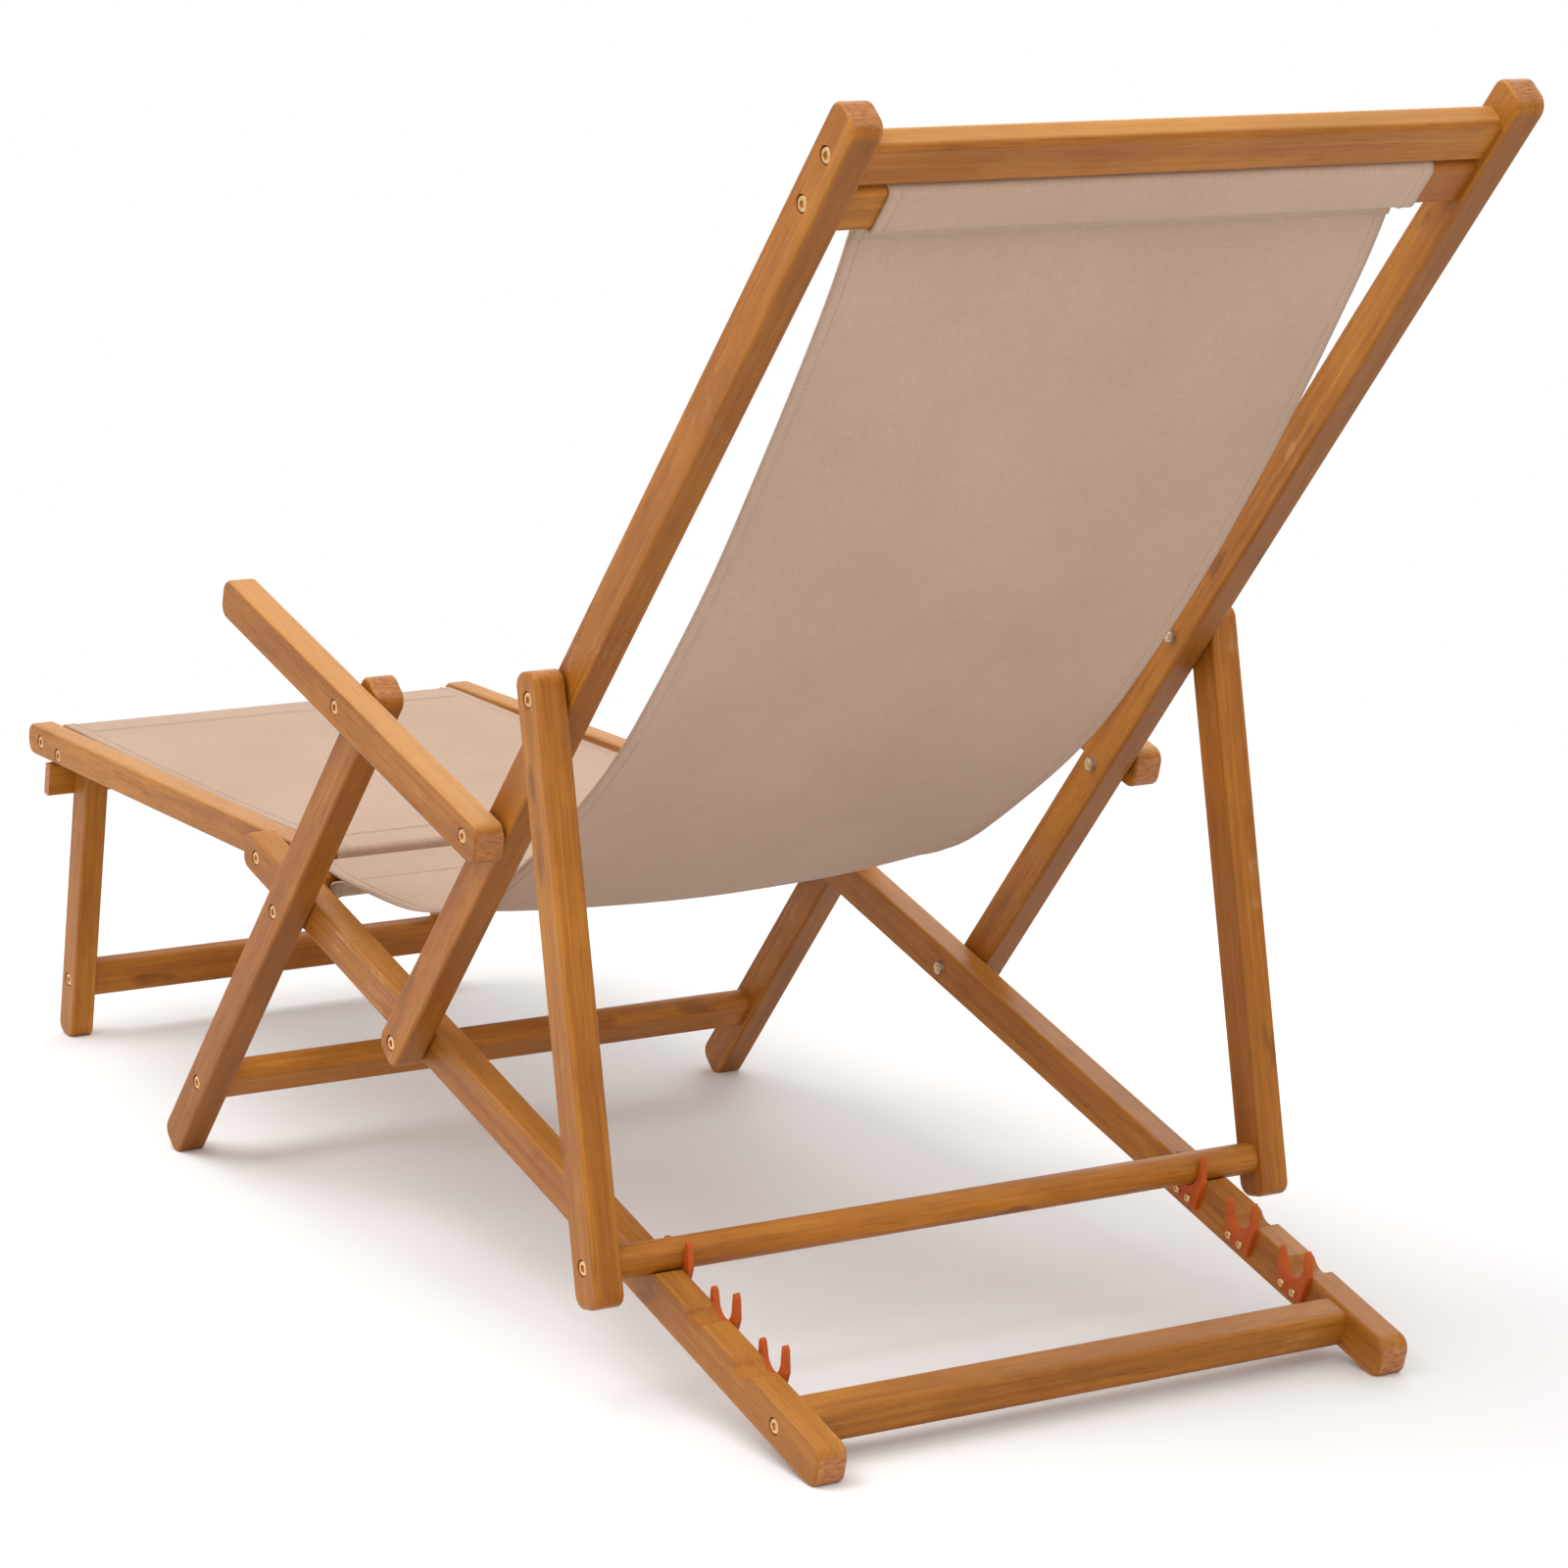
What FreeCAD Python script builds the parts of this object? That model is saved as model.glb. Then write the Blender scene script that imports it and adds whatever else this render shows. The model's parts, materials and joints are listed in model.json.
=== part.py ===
import FreeCAD, Part
import math
import os

# Folding sun lounger. Millimetres, X forward to the footrest, Y to the sitter's left, Z up.
# Side-view points are (x, z); the frame is symmetric about Y = 0.

os.makedirs("parts", exist_ok=True)

RAIL = 32.0
HALF = RAIL / 2
EASE = 3.0
END_R = 11.0
ORIGIN_X = 123.66

# Layers across the width, as (inner face, outer face).
FOOT_LEG = (176.5, 198.5)
FOOT_RAIL = (200.0, 222.0)
BASE = (223.5, 247.5)
LEG = (249.0, 273.0)
ARM = (275.0, 299.0)

# Fasteners.
SHANK = 3.0
RUN = 0.1
HEAD = 5.5
SINK = 6.5
SINK_DEEP = 4.0
NUT = 5.5
NUT_THICK = 4.0
FACE_GAP = 0.2

FOOT_CUT = 1.0
SLING_HALF = 213.0
CLOTH = 1.6


def unit(deg):
    a = math.radians(deg)
    return (math.cos(a), math.sin(a))


def step(p, d, s, n=0.0):
    """Point s along direction d from p, and n along d turned a quarter left."""
    return (p[0] + d[0] * s - d[1] * n, p[1] + d[1] * s + d[0] * n)


def at(p, y):
    return FreeCAD.Vector(p[0], y, p[1])


# Directions and pivots.
BASE_DIR = unit(16.2)
BACK_DIR = unit(132.2)
REST_DIR = unit(1.0)
PIVOT_BACK = (33.5 - ORIGIN_X, 183.8)
LINK_BASE = 221.0
LINK_BACK = 264.0
PIVOT_LEG = step(PIVOT_BACK, BASE_DIR, LINK_BASE)
PIVOT_REST = step(PIVOT_BACK, BASE_DIR, 312.0)
ARM_REAR = step(PIVOT_BACK, BACK_DIR, LINK_BACK)
ARM_FRONT = step(PIVOT_LEG, BACK_DIR, LINK_BACK)
PROP_TOP = step(PIVOT_BACK, BACK_DIR, 420.5)
DOWEL_R = 12.0
DOWEL_GAP = 0.4
DOWEL_RISE = 20.7
DOWEL = step(PIVOT_BACK, BASE_DIR, -365.7, DOWEL_RISE)
NOTCH_PITCH = 70.0
NOTCHES = [step(DOWEL, BASE_DIR, -NOTCH_PITCH * i) for i in range(3)]
REAR_BAR = step(PIVOT_BACK, BASE_DIR, -557.0)
SEAT_BAR = step(PIVOT_BACK, BASE_DIR, 242.0, 12.0)
SEAT_TENON = step(PIVOT_BACK, BASE_DIR, 242.0, 7.0)
LEG_BAR = step(PIVOT_LEG, BACK_DIR, -237.0)
TOP_SCREW = step(PIVOT_BACK, BACK_DIR, 957.7)
SLING_SCREW = step(PIVOT_BACK, BACK_DIR, 914.4)
TOP_BAR = step(TOP_SCREW, BACK_DIR, -3.0)
SLING_BAR = SLING_SCREW
SLING_BAR_HALF = 18.5
REST_FRONT = step(PIVOT_REST, REST_DIR, 524.0)
REST_REAR = step(PIVOT_REST, REST_DIR, -36.0)
REST_LEG = step(PIVOT_REST, REST_DIR, 484.0, -5.6)
REST_DEPTH = 28.0
REST_LEG_DEPTH = 30.0
STOP_DROP = 30.5
REST_LEG_DIR = unit(-77.6)
REST_LEG_BAR = step(REST_LEG, REST_LEG_DIR, 224.0)


def to_floor(p, d, depth):
    """Follow d from p until the lower corner of a rail end sits with its small flat on the floor."""
    height = END_R - FOOT_CUT + (depth / 2 - END_R) * abs(d[0])
    return step(p, d, (height - p[1]) / d[1])


def slab(edges, y0, y1):
    face = Part.Face(Part.Wire(edges))
    return face.extrude(FreeCAD.Vector(0, y1 - y0, 0))


def eased(solid, radius, along_y):
    """Round the edges along Y, or the rims of the two side faces."""
    picked = []
    for edge in solid.Edges:
        box = edge.BoundBox
        flat = box.YLength < 1e-6
        if flat != along_y:
            picked.append(edge)
    return solid.makeFillet(radius, picked)


def rail(p0, p1, depth, layer):
    """A timber that runs END_R past p0 and p1, with its end corners rounded about them."""
    dx, dz = p1[0] - p0[0], p1[1] - p0[1]
    size = math.hypot(dx, dz)
    d = (dx / size, dz / size)
    h = depth / 2
    corners = [(-END_R, -h), (size + END_R, -h), (size + END_R, h), (-END_R, h)]
    pts = [at(step(p0, d, s, n), layer[0]) for s, n in corners]
    block = slab(Part.makePolygon(pts + pts[:1]).Edges, layer[0], layer[1])
    return eased(eased(block, END_R, True), EASE, False)


def beam(p, d, half_d, half_n, y0, y1, radius):
    """A crossbar of rectangular section with rounded long edges."""
    corners = [(half_d, half_n), (-half_d, half_n), (-half_d, -half_n), (half_d, -half_n)]
    pts = [at(step(p, d, s, n), y0) for s, n in corners]
    wire = Part.makePolygon(pts + pts[:1])
    return eased(slab(wire.Edges, y0, y1), radius, True)


def rod(p, r, y0, y1):
    return Part.makeCylinder(r, y1 - y0, at(p, y0), FreeCAD.Vector(0, 1, 0))


def hexagon(p, r, y0, y1):
    pts = [at(step(p, unit(60 * i), r), y0) for i in range(6)]
    return slab(Part.makePolygon(pts + pts[:1]).Edges, y0, y1)


def drilled(shape, holes):
    for p, r, y0, y1 in holes:
        shape = shape.cut(rod(p, r, y0, y1))
    return shape.removeSplitter()


def sunk(p, layer, r):
    """Through hole with a counterbore at the outer face."""
    return [(p, r, layer[0] - 5, layer[1] + 5), (p, SINK, layer[1] - SINK_DEEP, layer[1] + 5)]


def through(p, layer, r):
    return [(p, r, layer[0] - 5, layer[1] + 5)]


def fastener(p, face, tip):
    """Socket head sunk below the outer face, shank running in to tip."""
    seat = face - SINK_DEEP
    top = face - 0.6
    head = rod(p, HEAD, seat, top)
    head = head.makeFillet(0.8, [e for e in head.Edges if e.BoundBox.YMin > top - 1e-6])
    return head.fuse(rod(p, SHANK, tip, seat)).cut(hexagon(p, 3.0, top - 2.2, top + 1)).removeSplitter()


def nut(p, y0, y1):
    return hexagon(p, NUT, y0, y1).cut(rod(p, SHANK, y0 - 1, y1 + 1))


def washer(p, y0, y1):
    return rod(p, 8.0, y0, y1).cut(rod(p, SHANK, y0 - 1, y1 + 1))


def mirrored(shape):
    return shape.mirror(FreeCAD.Vector(0, 0, 0), FreeCAD.Vector(0, 1, 0))


def save(name, shape):
    shape.exportStep("parts/%s.step" % name)


def save_sides(name, shape):
    save(name + "_left", shape)
    save(name + "_right", mirrored(shape))


def save_pairs(name, shapes):
    save(name, Part.makeCompound(shapes + [mirrored(s) for s in shapes]))


def floor_cut(shape):
    box = shape.BoundBox
    low = Part.makeBox(box.XLength + 20, 100, 60, FreeCAD.Vector(box.XMin - 10, box.YMin - 30, -60))
    return shape.cut(low).removeSplitter()


def notched(body):
    """Ease the mouths of the prop notches in the top of a base rail."""
    drop = DOWEL_R + DOWEL_GAP
    for n in NOTCHES:
        rise = DOWEL_RISE - HALF
        low = math.sqrt(drop ** 2 - (rise + EASE) ** 2)
        high = math.sqrt(drop ** 2 - rise ** 2) + EASE
        mouth = [
            (low, -rise - EASE), (high, -rise), (high, 0),
            (-high, 0), (-high, -rise), (-low, -rise - EASE),
        ]
        pts = [at(step(n, BASE_DIR, s, t), BASE[0] - 1) for s, t in mouth]
        body = body.cut(slab(Part.makePolygon(pts + pts[:1]).Edges, BASE[0] - 1, BASE[1] + 1))
    return body


def base_frame():
    rear = to_floor(PIVOT_BACK, BASE_DIR, RAIL)
    body = notched(rail(rear, step(PIVOT_REST, BASE_DIR, 12), RAIL, BASE))
    holes = through(PIVOT_LEG, BASE, SHANK) + through(PIVOT_BACK, BASE, SHANK)
    holes += sunk(PIVOT_REST, BASE, SHANK) + sunk(REAR_BAR, BASE, SHANK)
    holes += [(n, DOWEL_R + DOWEL_GAP, BASE[0] - 5, BASE[1] + 5) for n in NOTCHES]
    for n in NOTCHES:
        holes += [(s, 1.5, BASE[0] - 1, BASE[0] + 12) for s in clip_screw_points(n)]
    holes += [(SEAT_TENON, 5.0, BASE[0] - 1, BASE[0] + 10)]
    save_sides("base_rail", floor_cut(drilled(body, holes)))

    bar = beam(REAR_BAR, BASE_DIR, 14, 14, -BASE[0], BASE[0], 6)
    ends = [(REAR_BAR, SHANK, BASE[0] - 26, BASE[0] + 1), (REAR_BAR, SHANK, -BASE[0] - 1, -BASE[0] + 26)]
    save("rear_crossbar", drilled(bar, ends))
    save_pairs("rear_crossbar_screws", [fastener(REAR_BAR, BASE[1], BASE[0] - 26)])

    seat = beam(SEAT_BAR, BASE_DIR, 12, 10, -BASE[0], BASE[0], 5)
    tenon = rod(SEAT_TENON, 5.0, -BASE[0] - 10, BASE[0] + 10)
    save("seat_front_bar", seat.fuse(tenon).removeSplitter())

    save_pairs("front_leg_pivot_bolts", [fastener(PIVOT_LEG, LEG[1], BASE[0] - 5)])
    save_pairs("back_pivot_bolts", [fastener(PIVOT_BACK, LEG[1], BASE[0] - 5)])
    save_pairs("footrest_pivot_bolts", [fastener(PIVOT_REST, BASE[1], FOOT_RAIL[0] - 5)])
    inner = BASE[0]
    nuts = [nut(p, inner - NUT_THICK, inner) for p in (PIVOT_LEG, PIVOT_BACK)]
    nuts.append(nut(PIVOT_REST, FOOT_RAIL[0] - FACE_GAP - NUT_THICK, FOOT_RAIL[0] - FACE_GAP))
    save_pairs("base_nuts", nuts)
    rings = [washer(p, BASE[1], LEG[0] - FACE_GAP) for p in (PIVOT_LEG, PIVOT_BACK)]
    rings.append(washer(PIVOT_REST, FOOT_RAIL[1] + FACE_GAP, BASE[0]))
    save_pairs("base_washers", rings)


CLIP_FACE = BASE[0] - 5.0


def clip_screw_points(n):
    return [(n[0] + 13.0, n[1] - 19.0), (n[0] - 1.0, n[1] - 23.0)]


def clip(n):
    """U clip on the rail's inner face; its mouth opens straight up."""
    r = DOWEL_R + DOWEL_GAP

    def spot(x, z):
        return at((n[0] + x, n[1] + z), CLIP_FACE)

    outline = [(-r, 0), (-r - 1.4, 10), (-r - 3.2, 11.5), (-r - 5.2, 8), (-r - 6, -8), (-8, -31)]
    outline += [(20.5, -23), (r + 6, -4), (r + 5, 6), (r + 3.6, 8.5), (r + 1.6, 6.5), (r, 0)]
    edges = [Part.LineSegment(spot(*a), spot(*b)).toShape() for a, b in zip(outline, outline[1:])]
    edges.append(Part.Arc(spot(r, 0), spot(0, -r), spot(-r, 0)).toShape())
    plate = slab(edges, CLIP_FACE, BASE[0])
    rims = [e for e in plate.Edges if e.BoundBox.YMax < CLIP_FACE + 1e-6]
    plate = plate.makeChamfer(0.8, rims)
    return drilled(plate, [(s, 1.5, CLIP_FACE - 1, BASE[0] + 1) for s in clip_screw_points(n)])


def clips():
    screws = []
    for i, n in enumerate(NOTCHES):
        save_sides("clip_%d" % (i + 1), clip(n))
        for s in clip_screw_points(n):
            dome = rod(s, 3.4, CLIP_FACE - 1.8, CLIP_FACE)
            dome = dome.makeFillet(1.2, [e for e in dome.Edges if e.BoundBox.YMax < CLIP_FACE - 1.7])
            slot = hexagon(s, 1.3, CLIP_FACE - 2, CLIP_FACE - 0.8)
            screws.append(dome.fuse(rod(s, 1.5, CLIP_FACE, BASE[0] + 12)).cut(slot).removeSplitter())
    save_pairs("clip_screws", screws)


def back_frame():
    body = rail(step(PIVOT_BACK, BACK_DIR, -5), step(PIVOT_BACK, BACK_DIR, 984.5), RAIL, LEG)
    holes = sunk(PIVOT_BACK, LEG, SHANK + RUN)
    holes += through(ARM_REAR, LEG, SHANK) + through(PROP_TOP, LEG, SHANK)
    holes += sunk(TOP_SCREW, LEG, SHANK) + sunk(SLING_SCREW, LEG, SHANK)
    save_sides("back_rail", drilled(body, holes))

    for name, p, s, h in (
        ("top_crossbar", TOP_BAR, TOP_SCREW, 18.0),
        ("sling_bar", SLING_BAR, SLING_SCREW, SLING_BAR_HALF),
    ):
        bar = beam(p, BACK_DIR, h, 10.0, -LEG[0], LEG[0], 5)
        ends = [(s, SHANK, LEG[0] - 26, LEG[0] + 1), (s, SHANK, -LEG[0] - 1, -LEG[0] + 26)]
        save(name, drilled(bar, ends))
    save_pairs("back_bar_screws", [fastener(p, LEG[1], LEG[0] - 26) for p in (TOP_SCREW, SLING_SCREW)])

    save_pairs("armrest_rear_bolts", [fastener(ARM_REAR, ARM[1], LEG[0] - 5)])
    save_pairs("prop_bolts", [fastener(PROP_TOP, ARM[1], LEG[0] - 5)])
    save_pairs("back_nuts", [nut(p, LEG[0] - NUT_THICK, LEG[0]) for p in (ARM_REAR, PROP_TOP)])
    save_pairs("back_washers", [washer(p, LEG[1], ARM[0] - FACE_GAP) for p in (ARM_REAR, PROP_TOP)])


def front_legs():
    body = rail(to_floor(PIVOT_LEG, BACK_DIR, RAIL), step(ARM_FRONT, BACK_DIR, 9), RAIL, LEG)
    holes = sunk(PIVOT_LEG, LEG, SHANK + RUN) + through(ARM_FRONT, LEG, SHANK) + sunk(LEG_BAR, LEG, SHANK)
    save_sides("front_leg", floor_cut(drilled(body, holes)))
    bar = beam(LEG_BAR, BACK_DIR, 19, 10, -LEG[0], LEG[0], 8)
    ends = [(LEG_BAR, SHANK, LEG[0] - 26, LEG[0] + 1), (LEG_BAR, SHANK, -LEG[0] - 1, -LEG[0] + 26)]
    save("front_leg_crossbar", drilled(bar, ends))
    save_pairs("front_leg_screws", [fastener(LEG_BAR, LEG[1], LEG[0] - 26)])
    save_pairs("armrest_front_bolts", [fastener(ARM_FRONT, ARM[1], LEG[0] - 5)])
    save_pairs("front_leg_nuts", [nut(ARM_FRONT, LEG[0] - NUT_THICK, LEG[0])])
    save_pairs("front_leg_washers", [washer(ARM_FRONT, LEG[1], ARM[0] - FACE_GAP)])


def armrests():
    body = rail(step(ARM_REAR, BASE_DIR, -12), step(ARM_FRONT, BASE_DIR, 200), RAIL, ARM)
    holes = sunk(ARM_REAR, ARM, SHANK + RUN) + sunk(ARM_FRONT, ARM, SHANK + RUN)
    save_sides("armrest", drilled(body, holes))


def prop():
    dx, dz = DOWEL[0] - PROP_TOP[0], DOWEL[1] - PROP_TOP[1]
    size = math.hypot(dx, dz)
    d = (dx / size, dz / size)
    body = rail(step(PROP_TOP, d, -9), step(DOWEL, d, 19), RAIL, ARM)
    save_sides("prop_leg", drilled(body, sunk(PROP_TOP, ARM, SHANK + RUN) + sunk(DOWEL, ARM, SHANK)))
    dowel = rod(DOWEL, DOWEL_R, -ARM[0], ARM[0])
    ends = [(DOWEL, SHANK, ARM[0] - 30, ARM[0] + 1), (DOWEL, SHANK, -ARM[0] - 1, -ARM[0] + 30)]
    save("prop_dowel", drilled(dowel, ends))
    save_pairs("dowel_screws", [fastener(DOWEL, ARM[1], ARM[0] - 30)])


def footrest():
    body = rail(step(REST_REAR, REST_DIR, -2), step(REST_FRONT, REST_DIR, 18), REST_DEPTH, FOOT_RAIL)
    holes = through(PIVOT_REST, FOOT_RAIL, SHANK + RUN)
    holes += sunk(REST_LEG, FOOT_RAIL, SHANK) + sunk(REST_FRONT, FOOT_RAIL, SHANK)
    holes += [(REST_REAR, 6.0, FOOT_RAIL[0] - 1, FOOT_RAIL[0] + 12)]
    save_sides("footrest_rail", drilled(body, holes))
    inner = FOOT_RAIL[0]
    front = beam(REST_FRONT, REST_DIR, 10, 10, -inner, inner, 4)
    ends = [(REST_FRONT, SHANK, inner - 26, inner + 1), (REST_FRONT, SHANK, -inner - 1, -inner + 26)]
    save("footrest_front_bar", drilled(front, ends))
    rear = beam(REST_REAR, REST_DIR, 10, 10, -inner, inner, 4)
    save("footrest_rear_bar", rear.fuse(rod(REST_REAR, 6.0, -inner - 12, inner + 12)).removeSplitter())
    save_pairs("footrest_bar_screws", [fastener(REST_FRONT, FOOT_RAIL[1], inner - 26)])
    back = FOOT_LEG[0] - FACE_GAP
    save_pairs("footrest_leg_bolts", [fastener(REST_LEG, FOOT_RAIL[1], back - NUT_THICK - 1)])
    save_pairs("footrest_leg_nuts", [nut(REST_LEG, back - NUT_THICK, back)])
    save_pairs("footrest_leg_washers", [washer(REST_LEG, FOOT_LEG[1] + FACE_GAP, inner)])


def footrest_legs():
    foot = to_floor(REST_LEG, REST_LEG_DIR, REST_LEG_DEPTH)
    body = rail(REST_LEG, foot, REST_LEG_DEPTH, FOOT_LEG)
    holes = through(REST_LEG, FOOT_LEG, SHANK + RUN) + sunk(REST_LEG_BAR, FOOT_LEG, SHANK)
    side = REST_LEG_DEPTH / 2
    stop = step(REST_LEG, REST_LEG_DIR, STOP_DROP, side + 5)
    body = floor_cut(drilled(body, holes))
    y = sum(FOOT_LEG) / 2
    line = FreeCAD.Vector(-REST_LEG_DIR[1], 0, REST_LEG_DIR[0])
    pilot = Part.makeCylinder(1.8, 30, at(step(REST_LEG, REST_LEG_DIR, STOP_DROP, -5), y), line)
    save_sides("footrest_leg", body.cut(pilot).removeSplitter())
    bar = beam(REST_LEG_BAR, REST_LEG_DIR, 17, 10, -FOOT_LEG[0], FOOT_LEG[0], 7)
    inner = FOOT_LEG[0]
    ends = [(REST_LEG_BAR, SHANK, inner - 26, inner + 1), (REST_LEG_BAR, SHANK, -inner - 1, -inner + 26)]
    save("footrest_leg_crossbar", drilled(bar, ends))
    save_pairs("footrest_leg_screws", [fastener(REST_LEG_BAR, FOOT_LEG[1], inner - 26)])
    plank = beam(stop, REST_LEG_DIR, 15, 5, -FOOT_RAIL[1], FOOT_RAIL[1], 2)
    save("footrest_stop_bar", plank.cut(pilot).cut(mirrored(pilot)).removeSplitter())
    screw = Part.makeCylinder(1.8, 30, at(step(REST_LEG, REST_LEG_DIR, STOP_DROP, -5), y), line)
    dome = Part.makeCylinder(3.4, 1.6, at(step(REST_LEG, REST_LEG_DIR, STOP_DROP, side + 10), y), line)
    save_pairs("stop_bar_screws", [screw.fuse(dome).removeSplitter()])


def wrap(p, d, half_d, half_n, gap, half_width):
    """Cloth tube around a crossbar."""
    outer = beam(p, d, half_d + gap + CLOTH, half_n + gap + CLOTH, -half_width, half_width, 6)
    return outer.cut(beam(p, d, half_d + gap, half_n + gap, -half_width - 1, half_width + 1, 4.5))


def band(points, thick, half_width):
    """Cloth of even thickness below a smooth side-view line."""
    line = Part.BSplineCurve()
    line.interpolate([at(p, -half_width) for p in points])
    first, last = line.FirstParameter, line.LastParameter
    under = []
    for i in range(33):
        u = first + (last - first) * i / 32
        t = line.tangent(u)[0]
        q = line.value(u)
        under.append(FreeCAD.Vector(q.x - t.z * thick, q.y, q.z + t.x * thick))
    low = Part.BSplineCurve()
    low.interpolate(under)
    ends = [
        Part.LineSegment(under[-1], line.EndPoint).toShape(),
        Part.LineSegment(line.StartPoint, under[0]).toShape(),
    ]
    return slab([low.toShape(), ends[0], line.toShape(), ends[1]], -half_width, half_width)


def slings():
    top_wrap = wrap(SLING_BAR, BACK_DIR, SLING_BAR_HALF, 10, 0.5, SLING_HALF)
    seat_wrap = wrap(SEAT_BAR, BASE_DIR, 12, 10, 0.2, SLING_HALF)
    path = [(-514, 779), (-389, 613), (-270, 480), (-180, 401), (-72, 330), (7, 290), (100, 270), (197, 268)]
    points = [step(SLING_BAR, BACK_DIR, -14, -11.8)]
    points += [(x - ORIGIN_X, z) for x, z in path]
    points += [step(SEAT_BAR, BASE_DIR, -8, 11.3)]
    seat = band(points, CLOTH, SLING_HALF).fuse([top_wrap, seat_wrap]).removeSplitter()
    save("seat_sling", seat)

    half = FOOT_RAIL[0] - 4.0
    front = wrap(REST_FRONT, REST_DIR, 10, 10, 0.2, half)
    rear = wrap(REST_REAR, REST_DIR, 10, 10, 0.2, half)
    middle = step(REST_REAR, REST_DIR, 280.0, 11.0)
    sheet = beam(middle, REST_DIR, 282.0, CLOTH / 2, -half, half, 0.3)
    save("footrest_cloth", sheet.fuse([front, rear]).removeSplitter())


base_frame()
clips()
back_frame()
front_legs()
armrests()
prop()
footrest()
footrest_legs()
slings()
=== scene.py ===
import bpy
import json
import math
from mathutils import Matrix, Vector


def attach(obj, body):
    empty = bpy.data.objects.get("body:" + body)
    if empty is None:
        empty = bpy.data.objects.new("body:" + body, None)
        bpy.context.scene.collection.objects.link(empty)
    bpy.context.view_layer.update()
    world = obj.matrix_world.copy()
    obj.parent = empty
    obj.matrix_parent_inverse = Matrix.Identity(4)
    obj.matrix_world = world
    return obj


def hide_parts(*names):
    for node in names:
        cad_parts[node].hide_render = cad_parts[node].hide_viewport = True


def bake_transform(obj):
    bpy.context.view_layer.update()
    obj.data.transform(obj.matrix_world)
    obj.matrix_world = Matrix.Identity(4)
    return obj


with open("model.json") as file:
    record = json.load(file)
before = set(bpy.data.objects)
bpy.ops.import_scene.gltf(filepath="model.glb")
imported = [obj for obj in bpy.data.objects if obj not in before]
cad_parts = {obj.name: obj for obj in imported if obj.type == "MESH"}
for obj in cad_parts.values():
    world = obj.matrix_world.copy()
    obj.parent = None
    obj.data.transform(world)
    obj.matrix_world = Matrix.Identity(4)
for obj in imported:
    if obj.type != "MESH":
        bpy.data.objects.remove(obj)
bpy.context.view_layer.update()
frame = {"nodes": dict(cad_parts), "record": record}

# Side-view layout in metres, repeated from the part's source. X forward, Y to the sitter's left, Z up.
ORIGIN_X = 0.12366
BASE_ANGLE = math.radians(16.2)
BACK_ANGLE = math.radians(132.2)
REST_ANGLE = math.radians(1.0)
REST_LEG_ANGLE = math.radians(-77.6)
PROP_ANGLE = math.radians(259.3)
BACK_PIVOT = (0.0335 - ORIGIN_X, 0.1838)
BAR_HALF = 0.010
SEAT_BAR_HALF = 0.012
SLING_BAR_HALF = 0.0185

# Cloth: thickness, widths and side hems.
CLOTH = 0.0016
HEM_CLOTH = 0.0025
HEM_WIDTH = 0.011
HEM_REACH = 1.02
HEM_STEP = 1.12
SLING_HALF = 0.2155
SLING_SHIFT = 0.004
REST_HALF = 0.1955
COLUMNS = 64
BEND_STEPS = 6

# Sling: its hang in the source's own places, its sleeves, and the belly of the seat.
SEAT_HANG = [(-0.514, 0.779), (-0.389, 0.613), (-0.270, 0.480), (-0.180, 0.401)]
SEAT_HANG += [(-0.072, 0.330), (0.007, 0.290), (0.100, 0.270), (0.197, 0.2685)]
HANG_START = (-0.006, -0.015)
HANG_END = -0.006
HANG_STEPS = 10
SEAT_GAP = CLOTH / 2 + 0.0006
SEAT_BEND = 0.0055
FLAP_DROP = 0.0022
HEAD_FLAP = 0.036
HEAD_TUCK = 0.018
HEAD_SEAM_STEP = 0.010
SEAT_FLAP = 0.026
SEAT_SEAM_STEP = 0.006
SEAT_TUCK = (-0.0160, 0.004)
TUCK_STEPS = 6
BELLY = 0.014
BELLY_PLACE = -0.12
BELLY_REACH = 0.23

# Places behind the seat bar and up the back rails, worked out in dress_seat but not used.
BLEND_START = 0.04
BLEND_END = 0.50

# Footrest cloth: distances along the footrest from the middle of either bar.
REST_GAP = CLOTH / 2 + 0.0004
REST_BEND = 0.0045
REST_EDGE = 0.020
REST_SEAMS = [0.030, 0.034]
REST_FLAP = [(0.040, 0.0072), (0.026, 0.0)]
REST_ROWS = 24
REST_SAG = 0.003

# Slight ripples, which fade out towards the sleeves.
SEAT_RIPPLE = 0.0004
REST_RIPPLE = 0.0003
SLEEVE_REACH = 0.17
SLEEVE_FADE = 0.10
WAVES_ALONG = (23.0, 3.1)
WAVES_ACROSS = (9.0, 7.0)
WAVE_MIDDLE = 0.4

# Stitching.
STITCH_PITCH = 0.0042
STITCH_SHARE = 0.68
THREAD = 0.0004
THREAD_LIFT = 0.0001
THREAD_SIDES = 6
SEAM_COUNT = 60
HEM_SEAM_INSET = 0.002

# Finishes: linear colours.
WOOD_SHADES = [(0.34, (0.215, 0.061, 0.0040)), (0.47, (0.365, 0.118, 0.0095))]
WOOD_SHADES += [(0.57, (0.480, 0.177, 0.0180)), (0.70, (0.660, 0.296, 0.0450))]
END_SHADES = [(0.3, (0.300, 0.100, 0.024)), (0.7, (0.500, 0.210, 0.075))]
PORE_COLOUR = (0.150, 0.042, 0.007, 1)
KNOT_COLOUR = (0.120, 0.036, 0.008, 1)
SCUFF_COLOUR = (0.640, 0.390, 0.210, 1)
# Painted light for the tops of timbers and painted shade for their undersides.
PAINTED_TOP_LIGHT = (0.740, 0.390, 0.130, 1)
PAINTED_UNDER_SHADE = (0.150, 0.042, 0.005, 1)
CANVAS_SHADES = [(0.34, (0.420, 0.280, 0.198)), (0.50, (0.485, 0.332, 0.239)), (0.66, (0.545, 0.380, 0.279))]
THREAD_SHADES = [(0.35, (0.44, 0.29, 0.20)), (0.65, (0.58, 0.41, 0.30))]
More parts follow.
